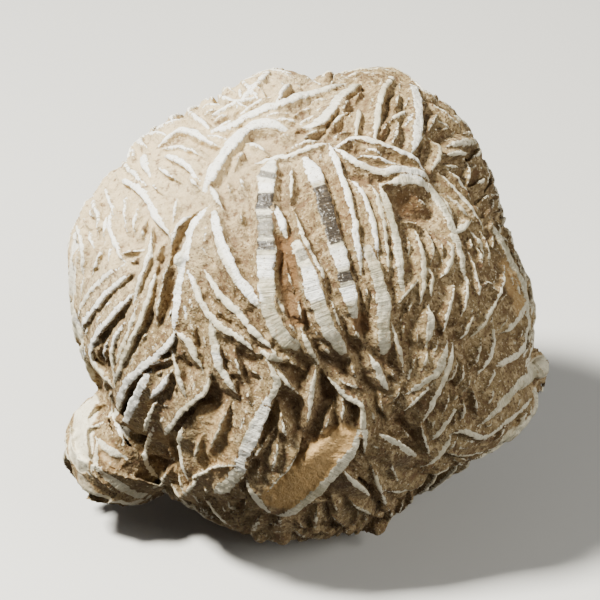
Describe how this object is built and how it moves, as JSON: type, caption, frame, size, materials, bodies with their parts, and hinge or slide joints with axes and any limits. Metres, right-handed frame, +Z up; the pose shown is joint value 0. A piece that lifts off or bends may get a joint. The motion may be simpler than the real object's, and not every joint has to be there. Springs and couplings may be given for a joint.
{
  "type": "gypsum sand rose",
  "caption": "Ball-shaped desert rose of intergrown gypsum blades with pale crests and sandy hollows, resting on a worn flat.",
  "frame": {"origin": "on the resting plane, at the foot of the layout axis that runs up through the middle of the ball", "axes": "+Z up from the worn flat it rests on; the showy side with the dome of long blades faces -Y; +X to the right of it"},
  "size_m": [0.0721, 0.0661, 0.0663],
  "materials": {
    "gypsum": "sandy tan faces between pale, satin crystal edges"
  },
  "bodies": {
    "root": {"sand_rose": "gypsum"}
  },
  "joints": []
}
